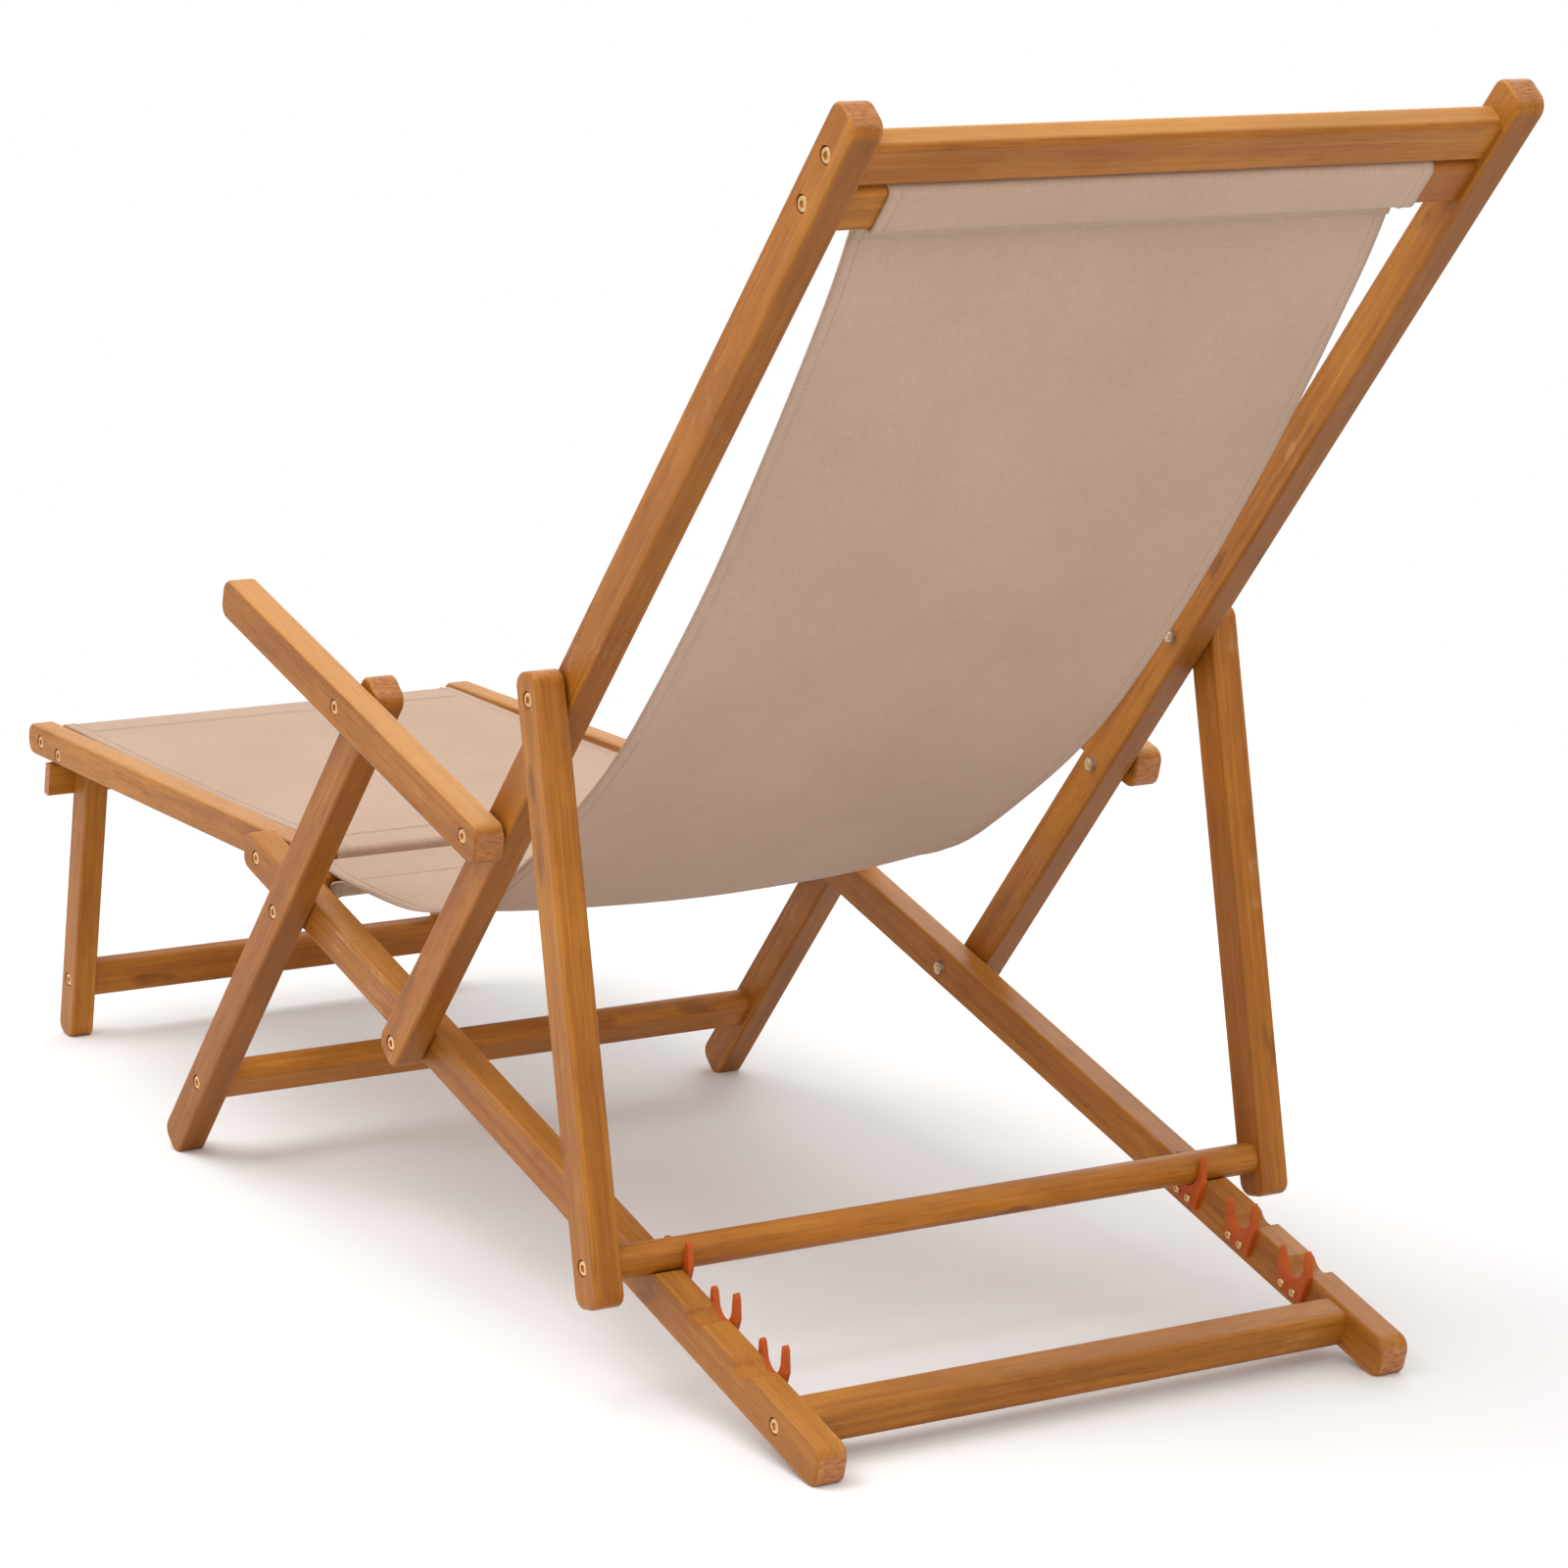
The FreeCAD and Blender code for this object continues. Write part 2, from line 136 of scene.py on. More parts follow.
CLIP_SHADES = [(0.3, (0.420, 0.066, 0.005)), (0.7, (0.540, 0.098, 0.010))]
BRASS_SHADES = [(0.3, (0.60, 0.36, 0.16)), (0.7, (0.82, 0.56, 0.29))]
ZINC_SHADES = [(0.3, (0.40, 0.40, 0.37)), (0.7, (0.62, 0.61, 0.56))]
FLOOR_SHADES = [(0.3, (0.94, 0.94, 0.94)), (0.7, (0.96, 0.96, 0.96))]
FLOOR_BOUNCE = (0.85, 0.85, 0.85, 1)
WHITE = (1, 1, 1, 1)

# Stage: floor, surround, lamps as name, place, aim, watts and width, and the photograph's camera.
FLOOR_HALF = 2.5
FLOOR_FADE = (1.0, 2.3)
SURROUND_LIGHT = 0.81
LAMPS = [
    ("key_lamp", (0.2, 1.3, 3.2), (0, 0, 0.3), 62, 2.6),
    ("fill_lamp", (-3.0, 1.2, 1.8), (0, 0, 0.4), 22, 2.4),
    ("rim_lamp", (1.8, -2.4, 2.2), (0, 0, 0.4), 20, 2.0),
]
CAMERA_PLACE = (-3.3748, 1.855, 1.0965)
CAMERA_RIGHT = Vector((-0.50676, -0.86209, -0.00039))
CAMERA_UP = Vector((0.16544, -0.09769, 0.98137))
SENSOR_MM = 36.0
LENS_MM = 112.65
CLIP_END = 50


def step(p, angle, s, n=0.0):
    """Point s along an angle from p, and n to its left."""
    c, k = math.cos(angle), math.sin(angle)
    return (p[0] + c * s - k * n, p[1] + k * s + c * n)


REST_PIVOT = step(BACK_PIVOT, BASE_ANGLE, 0.312)
SEAT_BAR = step(BACK_PIVOT, BASE_ANGLE, 0.242, 0.012)
SLING_BAR = step(BACK_PIVOT, BACK_ANGLE, 0.9144)
REST_FRONT = step(REST_PIVOT, REST_ANGLE, 0.524)
REST_REAR = step(REST_PIVOT, REST_ANGLE, -0.036)


class Val:
    """A shader socket that takes part in Python arithmetic."""

    def __init__(self, graph, socket):
        self.graph = graph
        self.socket = socket

    def __add__(self, other):
        return self.graph.math("ADD", self, other)

    def __rsub__(self, other):
        return self.graph.math("SUBTRACT", other, self)

    def __mul__(self, other):
        return self.graph.math("MULTIPLY", self, other)

    __radd__ = __add__
    __rmul__ = __mul__


class Graph:
    """The nodes of one shader tree."""

    def __init__(self, tree):
        self.tree = tree

    def node(self, kind, settings=None, inputs=None):
        made = self.tree.nodes.new(kind)
        for key, value in (settings or {}).items():
            if key == "stops":
                self.set_stops(made, value)
            else:
                setattr(made, key, value)
        for key, value in (inputs or {}).items():
            self.put(made.inputs[key], value)
        return made

    def set_stops(self, ramp, stops):
        elements = ramp.color_ramp.elements
        while len(elements) < len(stops):
            elements.new(0.5)
        for element, (place, colour) in zip(elements, stops):
            element.position = place
            element.color = (*colour, 1)

    def put(self, socket, value):
        if isinstance(value, Val):
            self.tree.links.new(value.socket, socket)
        else:
            socket.default_value = value

    def get(self, made, output=0):
        return Val(self, made.outputs[output])

    def math(self, operation, a, b):
        return self.get(self.node("ShaderNodeMath", {"operation": operation}, {0: a, 1: b}))

    def direct_rays(self):
        """1 for rays from the camera, off a shiny face or through a clear one, otherwise 0."""
        rays = self.node("ShaderNodeLightPath")
        direct = self.get(rays, "Is Camera Ray")
        for kind in ("Is Glossy Ray", "Is Transmission Ray"):
            direct = self.math("MAXIMUM", direct, self.get(rays, kind))
        return direct


class Finish(Graph):
    """One material and the nodes that make it."""

    def __init__(self, name):
        self.material = bpy.data.materials.new(name)
        self.material.use_nodes = True
        super().__init__(self.material.node_tree)
        self.shader = self.tree.nodes["Principled BSDF"]

    def coords(self, kind="Object"):
        return self.get(self.node("ShaderNodeTexCoord"), kind)

    def stretch(self, vector, scale):
        settings = {"operation": "MULTIPLY"}
        return self.get(self.node("ShaderNodeVectorMath", settings, {0: vector, 1: scale}))

    def noise(self, vector, scale=1.0, detail=4.0, rough=0.55, distortion=0.0):
        values = {"Vector": vector, "Scale": scale, "Detail": detail, "Roughness": rough}
        values["Distortion"] = distortion
        return self.get(self.node("ShaderNodeTexNoise", None, values))

    def ramp(self, factor, stops):
        return self.get(self.node("ShaderNodeValToRGB", {"stops": stops}, {"Fac": factor}))

    def band(self, value, low, high):
        values = {"Value": value, "From Min": low, "From Max": high}
        return self.get(self.node("ShaderNodeMapRange", {"interpolation_type": "SMOOTHSTEP"}, values))

    def mix(self, factor, a, b):
        made = self.node("ShaderNodeMix", {"data_type": "RGBA"})
        for index, value in ((0, factor), (6, a), (7, b)):
            self.put(made.inputs[index], value)
        return self.get(made, 2)

    def facing(self, direction):
        """How far the surface, as it stands at rest, faces a direction: 1 towards, -1 away."""
        settings = {"operation": "DOT_PRODUCT"}
        values = {0: self.coords("Normal"), 1: direction}
        return self.get(self.node("ShaderNodeVectorMath", settings, values), "Value")

    def bump(self, height, distance, strength):
        values = {"Height": height, "Distance": distance, "Strength": strength}
        return self.get(self.node("ShaderNodeBump", None, values))

    def set(self, **sockets):
        for name, value in sockets.items():
            self.put(self.shader.inputs[name.replace("_", " ")], value)
        return self.material


def wood(name, turn, grain, seed, pale, under_shade):
    """Oiled hardwood whose grain runs along one direction, with painted light on its tops and painted shade
    on its undersides.
    """
    f = Finish(name)
    place = {"Vector": f.coords(), "Rotation": turn, "Location": (seed * 1.7, seed * 0.61, seed * 0.37)}
    board = f.get(f.node("ShaderNodeMapping", None, place))
    figure = f.noise(f.stretch(board, (2.0, 34.0, 34.0)), 1.0, 5.0, 0.62, 0.7)
    line = f.noise(f.stretch(board, (5.0, 230.0, 230.0)), 1.0, 3.0, 0.6)
    pore = f.noise(f.stretch(board, (34.0, 1300.0, 1300.0)), 1.0, 2.0, 0.5)
    tone = f.noise(f.stretch(board, (1.3, 5.0, 5.0)), 1.0, 2.0)
    patch = f.noise(f.stretch(board, (11.0, 26.0, 26.0)), 1.0, 4.0, 0.6)
    mixed = figure * 0.32 + line * 0.26 + tone * 0.20 + patch * 0.22
    light = 0.85 + 0.20 * ((seed * 0.377) % 1.0)
    colour = f.ramp(mixed, [(stop, tuple(c * light for c in shade)) for stop, shade in WOOD_SHADES])
    dark_pore = f.band(pore, 0.57, 0.67)
    colour = f.mix(dark_pore * 0.45, colour, PORE_COLOUR)
    knot = f.band(f.noise(f.stretch(board, (11.0, 38.0, 38.0)), 1.0, 2.0), 0.66, 0.75)
    colour = f.mix(knot * 0.55, colour, KNOT_COLOUR)
    scuff = f.band(f.noise(board, 9.0, 5.0, 0.7), 0.60, 0.70) * f.band(line, 0.40, 0.60)
    colour = f.mix(scuff * 0.34, colour, SCUFF_COLOUR)
    # Painted light and shade: tops lighter and undersides darker by which way they face.
    up = f.facing((0.0, 0.0, 1.0))
    colour = f.mix(f.band(up, 0.25, 0.85) * pale, colour, PAINTED_TOP_LIGHT)
    colour = f.mix(f.band(0.0 - up, 0.25, 0.80) * under_shade, colour, PAINTED_UNDER_SHADE)
    ends = f.band(f.math("ABSOLUTE", f.facing(grain), 0.0), 0.70, 0.95)
    rings = f.noise(f.stretch(board, (150.0, 150.0, 420.0)), 1.0, 3.0)
    colour = f.mix(ends, colour, f.ramp(rings, END_SHADES))
    roughness = 0.33 + 0.20 * line + 0.12 * dark_pore + 0.12 * scuff
    relief = f.bump(line * 0.6 + pore * 0.4, 0.00035, 0.55)
    return f.set(Base_Color=colour, Roughness=roughness, Normal=relief, Specular_IOR_Level=0.26)


def canvas(name):
    """Plain-woven cotton canvas; the map is in metres, across then along."""
    f = Finish(name)
    cut = f.get(f.node("ShaderNodeUVMap", {"uv_map": "cut"}))
    warp = f.noise(f.stretch(cut, (1500.0, 60.0, 1.0)), 1.0, 2.0, 0.6)
    weft = f.noise(f.stretch(cut, (60.0, 1500.0, 1.0)), 1.0, 2.0, 0.6)
    cloud = f.noise(f.stretch(cut, (5.0, 4.0, 1.0)), 1.0, 3.0)
    thread = warp * 0.5 + weft * 0.5
    colour = f.ramp(thread * 0.6 + cloud * 0.4, CANVAS_SHADES)
    f.set(Base_Color=colour, Roughness=0.86 + 0.1 * thread, Normal=f.bump(thread, 0.0006, 0.6))
    return f.set(Sheen_Weight=0.08, Sheen_Roughness=0.6, Specular_IOR_Level=0.2)


def thread_finish(name):
    """Sewing thread with a fine twist."""
    f = Finish(name)
    twist = f.noise(f.stretch(f.coords(), (1500.0, 1500.0, 1500.0)), 1.0, 2.0)
    colour = f.ramp(twist, THREAD_SHADES)
    return f.set(Base_Color=colour, Roughness=0.75 + 0.15 * twist, Specular_IOR_Level=0.25)


def clip_plastic(name):
    """Moulded plastic with a faint mottle."""
    f = Finish(name)
    coords = f.coords()
    mottle = f.noise(coords, 60.0, 4.0)
    grain = f.noise(coords, 2200.0, 2.0)
    f.set(Base_Color=f.ramp(mottle, CLIP_SHADES), Roughness=0.46 + 0.14 * mottle)
    return f.set(Normal=f.bump(grain, 0.00012, 0.5), Specular_IOR_Level=0.25)


def brass(name):
    """Brass plating, worn and finely scratched."""
    f = Finish(name)
    coords = f.coords()
    wear = f.noise(coords, 260.0, 4.0)
    scratch = f.noise(f.stretch(coords, (300.0, 60.0, 2600.0)), 1.0, 2.0)
    f.set(Base_Color=f.ramp(wear, BRASS_SHADES), Roughness=0.24 + 0.2 * wear)
    return f.set(Normal=f.bump(scratch, 0.00008, 0.4), Metallic=1.0)


def zinc(name):
    """Zinc plating with a dull bloom."""
    f = Finish(name)
    bloom = f.noise(f.coords(), 320.0, 4.0)
    f.set(Base_Color=f.ramp(bloom, ZINC_SHADES), Roughness=0.30 + 0.24 * bloom)
    return f.set(Normal=f.bump(bloom, 0.00006, 0.4), Metallic=1.0)


def side_turn(angle):
    """Turn of the grain and its direction, for a timber at an angle in the side view."""
    return (0.0, angle, 0.0), (math.cos(angle), 0.0, math.sin(angle))


ACROSS = ((0.0, 0.0, -math.pi / 2), (0.0, 1.0, 0.0))
GRAIN = {
    "base_rail": side_turn(BASE_ANGLE),
    "armrest": side_turn(BASE_ANGLE),
    "back_rail": side_turn(BACK_ANGLE),
    "front_leg": side_turn(BACK_ANGLE),
    "prop_leg": side_turn(PROP_ANGLE),
    "footrest_rail": side_turn(REST_ANGLE),
    "footrest_leg": side_turn(REST_LEG_ANGLE),
}

# How much painted light lifts the tops and how much painted shade darkens the undersides of a timber.
PAINTED_LIGHT_AMOUNTS = {
    "armrest": (0.42, 0.30),
    "top_crossbar": (0.42, 0.08),
    "footrest_rail": (0.30, 0.30),
    "back_rail": (0.30, 0.55),
    "front_leg": (0.30, 0.50),
}
# Painted top light and painted underside shade for every other timber.
PAINTED_LIGHT_DEFAULT = (0.12, 0.25)


def paint_nodes():
    """Give every rigid CAD node its finish."""
    clip, metal, nut = clip_plastic("moulded_clip"), brass("plated_brass"), zinc("zinc_plate")
    slots = {part["node"]: part["material_slot"] for part in frame["record"]["subparts"]}
    for seed, (name, obj) in enumerate(sorted(frame["nodes"].items())):
        if slots[name] == "wood":
            piece, side = name.rsplit("_", 1)
            paired = side in ("left", "right")
            turn, grain = GRAIN[piece] if paired else ACROSS
            # Amounts of painted top light and painted underside shade for this timber.
            pale, under_shade = PAINTED_LIGHT_AMOUNTS.get(piece if paired else name, PAINTED_LIGHT_DEFAULT)
            finish = wood("oiled_" + name, turn, grain, seed, pale, under_shade)
        elif name.endswith(("_nuts", "_washers")):
            finish = nut
        else:
            finish = {"clip": clip, "fastener": metal}.get(slots[name])
        if finish:
            obj.data.materials.clear()
            obj.data.materials.append(finish)


def smooth_line(points, count):
    """Catmull-Rom line through side-view points, with count steps between each two."""
    padded = [points[0]] + list(points) + [points[-1]]
    line = []
    for i in range(1, len(padded) - 2):
        p = [Vector(q) for q in padded[i - 1:i + 3]]
        for j in range(count):
            t = j / count
            a = 2 * p[1] + (p[2] - p[0]) * t
            b = (2 * p[0] - 5 * p[1] + 4 * p[2] - p[3]) * t * t
            c = (3 * p[1] - p[0] - 3 * p[2] + p[3]) * t ** 3
            line.append(tuple((a + b + c) / 2))
    return line + [tuple(points[-1])]


def spin(corners):
    """1 where the corners run counter-clockwise, otherwise -1."""
    (a, b), (c, d) = corners[0], corners[1]
    return 1 if a * d - b * c > 0 else -1


def round_bar(p, angle, half_s, half_n, radius, corners):
    """Side-view line over the given corners of a bar, each rounded."""
    line = []
    for sign_s, sign_n in corners:
        middle = (sign_s * (half_s - radius), sign_n * (half_n - radius))
        out = math.atan2(sign_n, sign_s)
        for i in range(BEND_STEPS + 1):
            a = out + math.radians(90 * i / BEND_STEPS - 45) * spin(corners)
            line.append(step(p, angle, middle[0] + radius * math.cos(a), middle[1] + radius * math.sin(a)))
    return line


class Sheet:
    """A cloth swept across the width along a side-view line, with thicker hems at its sides."""

    def __init__(self, line, half, ripple, belly=0.0, shift=0.0):
        self.line = line
        self.half = half
        self.ripple = ripple
        self.belly = belly
        self.shift = shift
        self.along = [0.0]
        for a, b in zip(line, line[1:]):
            self.along.append(self.along[-1] + math.dist(a, b))

    def rise(self, i, u):
        """How far the middle layer stands off the line: ripples away from the sleeves, less the belly."""
        along = self.along[i]
        calm = (min(along, self.along[-1] - along) - SLEEVE_REACH) / SLEEVE_FADE
        wave = math.sin(along * WAVES_ALONG[0] + u * WAVES_ALONG[1])
        wave *= math.sin(u * WAVES_ACROSS[1] + along * WAVES_ACROSS[0]) * (WAVE_MIDDLE + abs(u))
        hang = self.belly * seat_belly(self.line[i][0]) * (1 - u * u)
        return self.ripple * min(max(calm, 0.0), 1.0) * wave - hang

    def point(self, i, u, lift):
        """A place on row i, u from -1 to 1 across, lifted off the middle layer."""
        x, z = self.line[i]
        a, b = self.line[max(i - 1, 0)], self.line[min(i + 1, len(self.line) - 1)]
        off = (lift + self.rise(i, u)) / math.dist(a, b)
        return (x - (b[1] - a[1]) * off, u * self.half + self.shift, z + (b[0] - a[0]) * off)

    def surface(self):
        """Points of the upper then the lower face, their places on the flat cut, and the points in a row."""
        hem = HEM_WIDTH / self.half
        edge = [-1, -1 + hem * 0.5, -1 + hem, -1 + hem * HEM_STEP]
        plain = 2 - hem * 2 * HEM_STEP
        inner = [edge[-1] + plain * i / COLUMNS for i in range(1, COLUMNS)]
        across = edge + inner + [-e for e in reversed(edge)]
        verts, cuts = [], []
        for side in (1, -1):
            for i, along in enumerate(self.along):
                for u in across:
                    thick = HEM_CLOTH if 1 - abs(u) < hem * HEM_REACH else CLOTH
                    verts.append(self.point(i, u, side * thick / 2))
                    cuts.append((u * self.half, along))
        return verts, cuts, len(across)

    def faces(self, wide):
        """Both faces of the cloth and the narrow faces along its four edges."""
        rows = len(self.line)
        low = rows * wide
        faces = []
        for i in range(rows - 1):
            for j in range(wide - 1):
                a, b = i * wide + j, (i + 1) * wide + j
                faces.append((a, a + 1, b + 1, b))
                faces.append((low + a, low + b, low + b + 1, low + a + 1))
            a, b = i * wide, (i + 1) * wide
            faces.append((a, b, low + b, low + a))
            a, b = a + wide - 1, b + wide - 1
            faces.append((a, low + a, low + b, b))
        for j in range(wide - 1):
            last = (rows - 1) * wide + j
            faces.append((j, low + j, low + j + 1, j + 1))
            faces.append((last, last + 1, low + last + 1, low + last))
        return faces

    def build(self, name, finish):
        """The cloth as a mesh object, with its flat cut as its map."""
        verts, cuts, wide = self.surface()
        mesh = bpy.data.meshes.new(name)
        mesh.from_pydata(verts, [], self.faces(wide))
        layer = mesh.uv_layers.new(name="cut")
        for loop in mesh.loops:
            layer.data[loop.index].uv = cuts[loop.vertex_index]
        mesh.polygons.foreach_set("use_smooth", [True] * len(mesh.polygons))
        mesh.materials.append(finish)
        return add_object(name, mesh)

    def hem_rows(self):
        """Thread lines along both side hems, on both faces."""
        u = 1 - (HEM_WIDTH - HEM_SEAM_INSET) / self.half
        lift = HEM_CLOTH / 2 + THREAD_LIFT
        places = [(side * u, face * lift) for face in (1, -1) for side in (1, -1)]
        return [[self.point(i, v, off) for i in range(len(self.line))] for v, off in places]

    def cross_row(self, i, lift):
        """One thread line across the cloth on row i."""
        return [self.point(i, 2 * j / SEAM_COUNT - 1, lift) for j in range(SEAM_COUNT + 1)]


def add_object(name, data):
    """A new object in the scene."""
    obj = bpy.data.objects.new(name, data)
    bpy.context.scene.collection.objects.link(obj)
    return obj


def seat_belly(x):
    """Share of the belly at x: 1 in the middle of the seat, 0 away from it."""
    away = (x - BELLY_PLACE) / BELLY_REACH
    return 0.5 * (1 + math.cos(math.pi * away)) if abs(away) < 1 else 0.0


def lifted(line, lift):
    """The line moved along its left-hand normal."""
    moved = []
    for i, (x, z) in enumerate(line):
        a, b = line[max(i - 1, 0)], line[min(i + 1, len(line) - 1)]
        size = math.dist(a, b)
        moved.append((x - (b[1] - a[1]) / size * lift, z + (b[0] - a[0]) / size * lift))
    return moved


def place_at(line, distance):
    """Index of the first point at least this far along a line."""
    gone = 0.0
    for i, (a, b) in enumerate(zip(line, line[1:])):
        gone += math.dist(a, b)
        if gone >= distance:
            return i + 1
    return len(line) - 1


def seat_hang():
    """The free stretch, from the head bar's front to the top of the seat bar."""
    start = [step(SLING_BAR, BACK_ANGLE, s, -BAR_HALF - SEAT_GAP) for s in HANG_START]
    hang = [(x - ORIGIN_X, z) for x, z in SEAT_HANG]
    top = step(SEAT_BAR, BASE_ANGLE, HANG_END, BAR_HALF + SEAT_GAP)
    return smooth_line(start + hang + [top], HANG_STEPS)


def seat_line():
    """A sleeve round the head bar, the hang, and a sleeve round the seat bar; also the two seams' rows."""
    hang = seat_hang()
    behind = lifted(hang, -FLAP_DROP)
    flap = [behind[i] for i in range(place_at(hang, HEAD_FLAP), place_at(hang, HEAD_TUCK), -1)]
    flap.append(step(SLING_BAR, BACK_ANGLE, -SLING_BAR_HALF - SEAT_GAP, -SEAT_BEND))
    wrap = (SLING_BAR_HALF + SEAT_GAP, BAR_HALF + SEAT_GAP, SEAT_BEND)
    over = round_bar(SLING_BAR, BACK_ANGLE, *wrap, [(-1, 1), (1, 1), (1, -1)])
    wrap = (SEAT_BAR_HALF + SEAT_GAP, BAR_HALF + SEAT_GAP, SEAT_BEND)
    front = round_bar(SEAT_BAR, BASE_ANGLE, *wrap, [(1, 1), (1, -1), (-1, -1)])
    tail = len(hang) - 1 - place_at(hang[::-1], SEAT_FLAP)
    rise = step(SEAT_BAR, BASE_ANGLE, *SEAT_TUCK)
    tuck = smooth_line([front[-1], rise, behind[tail]], TUCK_STEPS)[1:]
    head_seam = place_at(hang, HEAD_FLAP - HEAD_SEAM_STEP)
    seat_seam = len(hang) - 1 - place_at(hang[::-1], SEAT_FLAP + SEAT_SEAM_STEP)
    first = len(flap) + len(over)
    line = flap + over + hang + front + tuck + behind[tail - 1:tail - 3:-1]
    return line, [first + head_seam, first + seat_seam]


def rest_line():
    """Round the footrest's rear bar, forward over the rails and round its front bar; also the seams' rows."""
    half = BAR_HALF + REST_GAP
    length = math.dist(REST_REAR, REST_FRONT)
    free = length - 2 * REST_EDGE
    rear = round_bar(REST_REAR, REST_ANGLE, half, half, REST_BEND, [(1, -1), (-1, -1), (-1, 1)])
    front = round_bar(REST_FRONT, REST_ANGLE, half, half, REST_BEND, [(1, 1), (1, -1), (-1, -1)])
    seams = REST_SEAMS + [length - s for s in reversed(REST_SEAMS)]
    places = sorted([REST_EDGE + free * i / REST_ROWS for i in range(REST_ROWS + 1)] + seams)
    span = []
    for s in places:
        x, z = step(REST_REAR, REST_ANGLE, s, half)
        span.append((x, z - REST_SAG * math.sin(math.pi * (s - REST_EDGE) / free)))
    under_rear = [step(REST_REAR, REST_ANGLE, s, n) for s, n in REST_FLAP]
    under_front = [step(REST_FRONT, REST_ANGLE, -s, n) for s, n in reversed(REST_FLAP)]
    first = len(under_rear) + len(rear)
    return under_rear + rear + span + front + under_front, [first + places.index(s) for s in seams]


def stitch_tree():
    """Geometry nodes: short threads along a line."""
    tree = bpy.data.node_groups.new("stitch_row", "GeometryNodeTree")
    face = tree.interface
    face.new_socket("Line", in_out="INPUT", socket_type="NodeSocketGeometry")
    for label in ("Pitch", "Thread"):
        face.new_socket(label, in_out="INPUT", socket_type="NodeSocketFloat")
    face.new_socket("Finish", in_out="INPUT", socket_type="NodeSocketMaterial")
    face.new_socket("Stitches", in_out="OUTPUT", socket_type="NodeSocketGeometry")
    new, link = tree.nodes.new, tree.links.new
    start, end = new("NodeGroupInput"), new("NodeGroupOutput")
    curve, points = new("GeometryNodeMeshToCurve"), new("GeometryNodeCurveToPoints")
    points.mode = "LENGTH"
    thread = new("GeometryNodeMeshCylinder")
    thread.inputs["Vertices"].default_value = THREAD_SIDES
    span = new("ShaderNodeMath")
    span.operation = "MULTIPLY"
    span.inputs[1].default_value = STITCH_SHARE
    place, real = new("GeometryNodeInstanceOnPoints"), new("GeometryNodeRealizeInstances")
    paint = new("GeometryNodeSetMaterial")
    link(start.outputs["Line"], curve.inputs[0])
    link(curve.outputs[0], points.inputs["Curve"])
    link(start.outputs["Pitch"], points.inputs["Length"])
    link(start.outputs["Pitch"], span.inputs[0])
    link(span.outputs[0], thread.inputs["Depth"])
    link(start.outputs["Thread"], thread.inputs["Radius"])
    link(points.outputs["Points"], place.inputs["Points"])
    link(points.outputs["Rotation"], place.inputs["Rotation"])
    link(thread.outputs["Mesh"], place.inputs["Instance"])
    link(place.outputs[0], real.inputs[0])
    link(real.outputs[0], paint.inputs["Geometry"])
    link(start.outputs["Finish"], paint.inputs["Material"])
    link(paint.outputs[0], end.inputs[0])
    return tree


def stitched(name, rows, tree, finish):
    """One plain mesh of thread rows laid along lines of points."""
    verts, edges = [], []
    for row in rows:
        first = len(verts)
        verts += row
        edges += [(first + i, first + i + 1) for i in range(len(row) - 1)]
    mesh = bpy.data.meshes.new(name + "_line")
    mesh.from_pydata(verts, edges, [])
    source = add_object(name + "_line", mesh)
    modifier = source.modifiers.new("stitches", "NODES")
    modifier.node_group = tree
    values = {"Pitch": STITCH_PITCH, "Thread": THREAD, "Finish": finish}
    for item in tree.interface.items_tree:
        if item.name in values:
            modifier[item.identifier] = values[item.name]
    depsgraph = bpy.context.evaluated_depsgraph_get()
    plain = bpy.data.meshes.new_from_object(source.evaluated_get(depsgraph))
    bpy.data.objects.remove(source)
    return add_object(name, plain)


def dress_seat(fabric, thread, tree):
    """The sling and its stitching, baked into place."""
    line, seams = seat_line()
    cut = Sheet(line, SLING_HALF, SEAT_RIPPLE, BELLY, SLING_SHIFT)
    sling = cut.build("seat_cloth", fabric)
    lift = CLOTH / 2 + THREAD_LIFT
    rows = cut.hem_rows()
    rows += [cut.cross_row(i, off) for i in seams for off in (lift, -FLAP_DROP - lift)]
    stitching = stitched("seat_stitching", rows, tree, thread)
    start = (SEAT_BAR[0] - BLEND_START, 0, SEAT_BAR[1])
    back = step(BACK_PIVOT, BACK_ANGLE, BLEND_END)
    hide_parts("seat_sling")
    for obj in (sling, stitching):
        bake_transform(obj)


def dress_footrest(fabric, thread, tree):
    """The footrest's cloth and its stitching, which ride on the footrest."""
    line, seams = rest_line()
    cut = Sheet(line, REST_HALF, REST_RIPPLE)
    cover = cut.build("footrest_cover", fabric)
    rows = cut.hem_rows() + [cut.cross_row(i, CLOTH / 2 + THREAD_LIFT) for i in seams]
    stitching = stitched("footrest_stitching", rows, tree, thread)
    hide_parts("footrest_cloth")
    for obj in (cover, stitching):
        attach(obj, "footrest")


def dress_cloth():
    """Both cloths, of one fabric and one thread."""
    fabric, thread = canvas("canvas"), thread_finish("sewing_thread")
    tree = stitch_tree()
    dress_seat(fabric, thread, tree)
    dress_footrest(fabric, thread, tree)


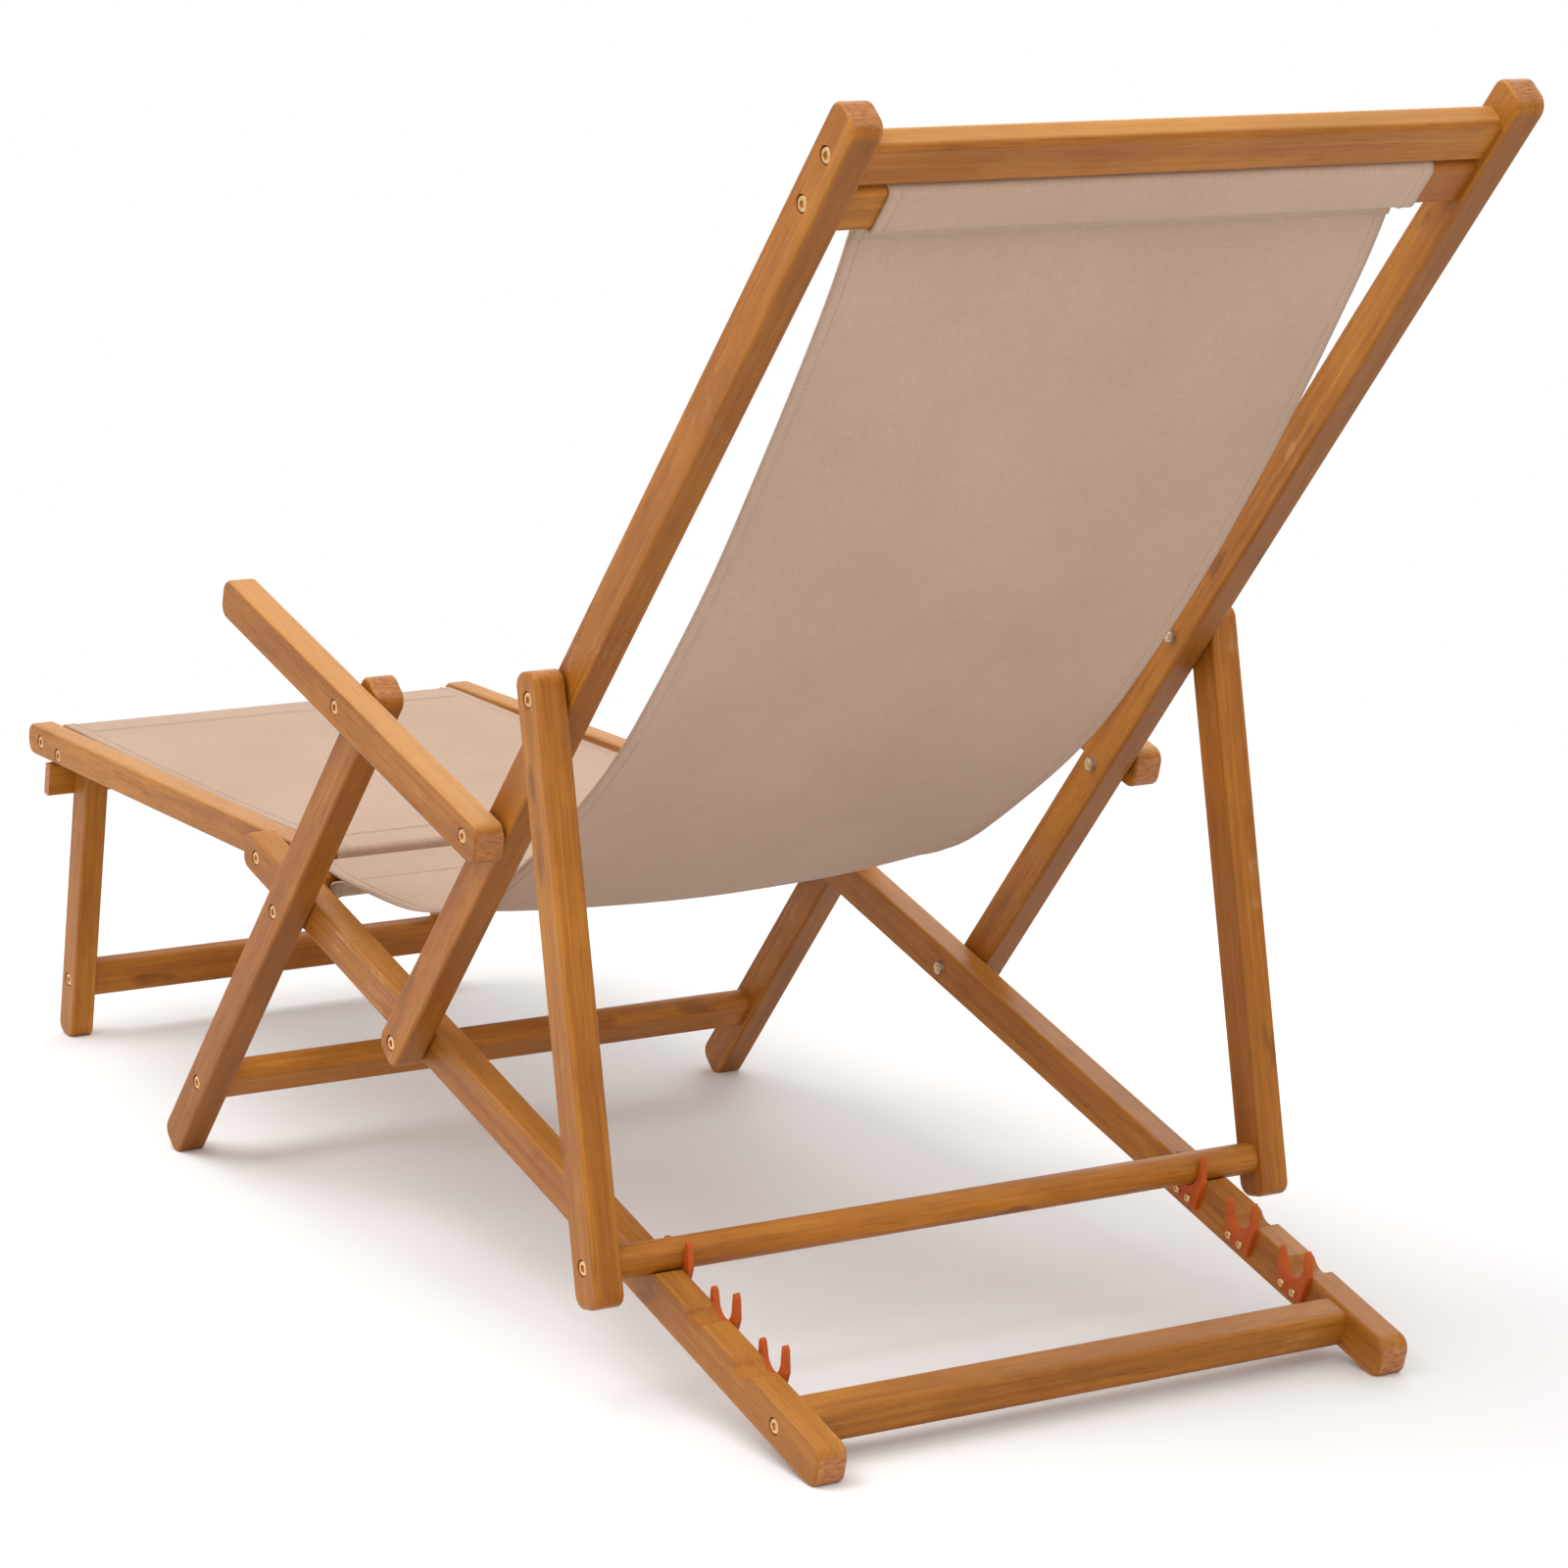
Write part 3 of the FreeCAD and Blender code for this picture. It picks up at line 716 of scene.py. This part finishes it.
def floor_finish(name):
    """Pale floor that fades out with distance, a little darker to the light that it throws back."""
    f = Finish(name)
    coords = f.coords()
    away = f.get(f.node("ShaderNodeVectorMath", {"operation": "LENGTH"}, {0: coords}), "Value")
    pale = f.ramp(f.noise(coords, 1.5, 2.0), FLOOR_SHADES)
    f.set(Base_Color=f.mix(f.direct_rays(), FLOOR_BOUNCE, pale), Roughness=0.9)
    return f.set(Alpha=1 - f.band(away, *FLOOR_FADE))


def lay_floor():
    mesh = bpy.data.meshes.new("floor")
    corners = [(x * FLOOR_HALF, y * FLOOR_HALF, 0) for x, y in ((-1, -1), (1, -1), (1, 1), (-1, 1))]
    mesh.from_pydata(corners, [], [(0, 1, 2, 3)])
    mesh.materials.append(floor_finish("pale_floor"))
    floor = add_object("floor", mesh)


def light_surround():
    """White all round to look at, and a little dimmer as a light."""
    world = bpy.data.worlds.new("surround")
    bpy.context.scene.world = world
    world.use_nodes = True
    graph = Graph(world.node_tree)
    light = graph.tree.nodes["Background"]
    graph.put(light.inputs["Color"], WHITE)
    graph.put(light.inputs["Strength"], SURROUND_LIGHT)
    white = graph.node("ShaderNodeBackground", None, {"Color": WHITE, "Strength": 1.0})
    shown = {0: graph.direct_rays(), 1: graph.get(light), 2: graph.get(white)}
    surround = graph.node("ShaderNodeMixShader", None, shown)
    graph.put(graph.tree.nodes["World Output"].inputs["Surface"], graph.get(surround))


def hang_lamps():
    for name, place, aim, watts, wide in LAMPS:
        lamp = bpy.data.lights.new(name, "AREA")
        lamp.energy = watts
        lamp.size = wide
        obj = add_object(name, lamp)
        obj.location = place
        obj.rotation_euler = (Vector(aim) - Vector(place)).to_track_quat("-Z", "Y").to_euler()


def set_camera():
    """The photograph's camera, from its place and the directions of its picture's right and top."""
    view = bpy.data.cameras.new("camera")
    view.sensor_width = SENSOR_MM
    view.lens = LENS_MM
    view.clip_end = CLIP_END
    camera = add_object("camera", view)
    back = CAMERA_RIGHT.cross(CAMERA_UP)
    turn = Matrix((CAMERA_RIGHT, CAMERA_UP, back)).transposed().to_4x4()
    camera.matrix_world = Matrix.Translation(CAMERA_PLACE) @ turn
    bpy.context.scene.camera = camera
    bpy.context.scene.view_settings.view_transform = "Standard"


paint_nodes()
dress_cloth()
lay_floor()
light_surround()
hang_lamps()
set_camera()
